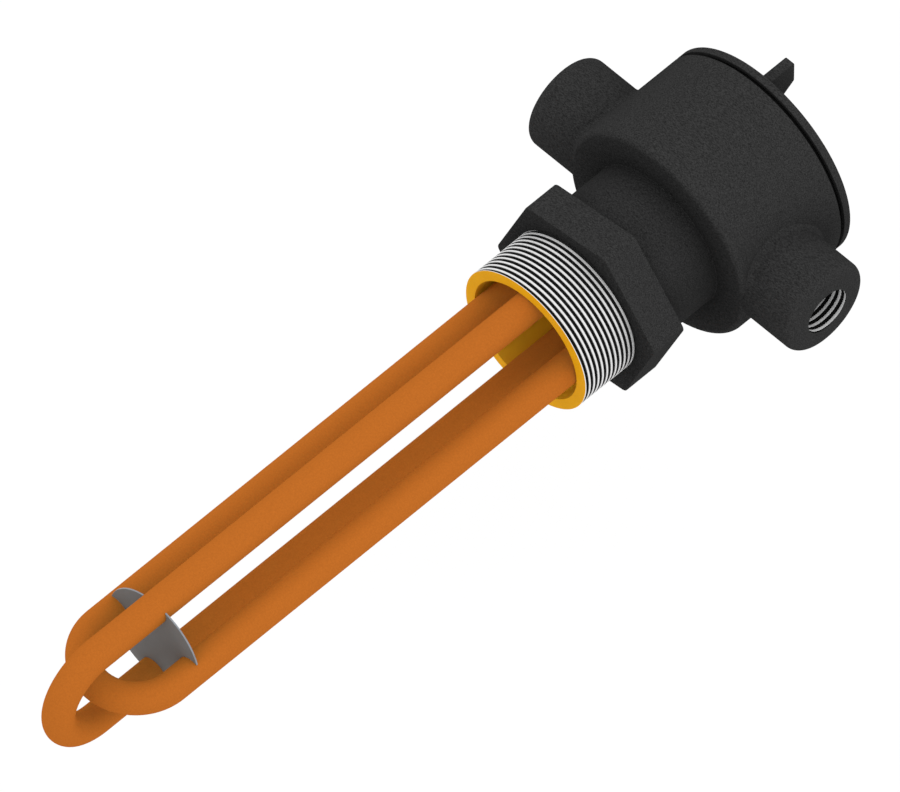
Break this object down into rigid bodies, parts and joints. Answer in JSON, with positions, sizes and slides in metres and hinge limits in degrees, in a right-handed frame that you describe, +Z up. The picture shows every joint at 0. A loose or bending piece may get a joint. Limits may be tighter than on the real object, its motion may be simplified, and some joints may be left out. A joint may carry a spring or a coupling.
{
  "type": "basin heater",
  "caption": "Screw-plug immersion heater: crossed hairpin elements, notched spacer, pipe-thread plug and a round terminal housing with screwed cover and two conduit hubs.",
  "frame": {"origin": "centre of the screw plug's shoulder, where the pipe thread meets the hexagon", "axes": "+Y along the heater axis from the element tips to the cover, X along the two conduit hubs, +Z up"},
  "size_m": [0.134, 0.375, 0.0888],
  "materials": {
    "black_paint": "textured black paint on a casting",
    "plug_brass": "machined, with the hexagon painted black",
    "element_copper": "dull drawn copper tube",
    "spacer_steel": "dull grey sheet",
    "seal_rubber": "matt",
    "terminal_steel": "bright plated",
    "link_copper": "rolled copper strip",
    "bushing_ceramic": "unglazed ceramic",
    "ground_green": "green dyed plating"
  },
  "bodies": {
    "housing": {"housing_body": "black_paint", "screw_plug": "plug_brass", "element_long": "element_copper", "element_short": "element_copper", "element_spacer": "spacer_steel", "bushing_1": "bushing_ceramic", "pin_1": "terminal_steel", "lower_nut_1": "terminal_steel", "washer_1": "terminal_steel", "upper_nut_1": "terminal_steel", "bushing_2": "bushing_ceramic", "pin_2": "terminal_steel", "lower_nut_2": "terminal_steel", "washer_2": "terminal_steel", "upper_nut_2": "terminal_steel", "bushing_3": "bushing_ceramic", "pin_3": "terminal_steel", "lower_nut_3": "terminal_steel", "washer_3": "terminal_steel", "upper_nut_3": "terminal_steel", "bushing_4": "bushing_ceramic", "pin_4": "terminal_steel", "lower_nut_4": "terminal_steel", "washer_4": "terminal_steel", "upper_nut_4": "terminal_steel", "link_bar_1": "link_copper", "link_bar_2": "link_copper", "ground_screw": "ground_green", "ground_washer": "terminal_steel"},
    "cover_seal": {"cover_o_ring": "seal_rubber"},
    "cover": {"housing_cover": "black_paint"}
  },
  "joints": [
    {"name": "cover_lift", "type": "slide", "parent": "housing", "child": "cover_seal", "axis": [0, 1, 0], "range_m": [0, 0.0106]},
    {"name": "cover_turn", "type": "hinge", "parent": "cover_seal", "child": "cover", "pos_m": [0, 0.0917, 0], "axis": [0, 1, 0], "range_deg": [0, 1800]}
  ],
  "couplings": [
    {"joint": "cover_lift", "follows": "cover_turn", "m_per_rad": 0.00033688}
  ]
}
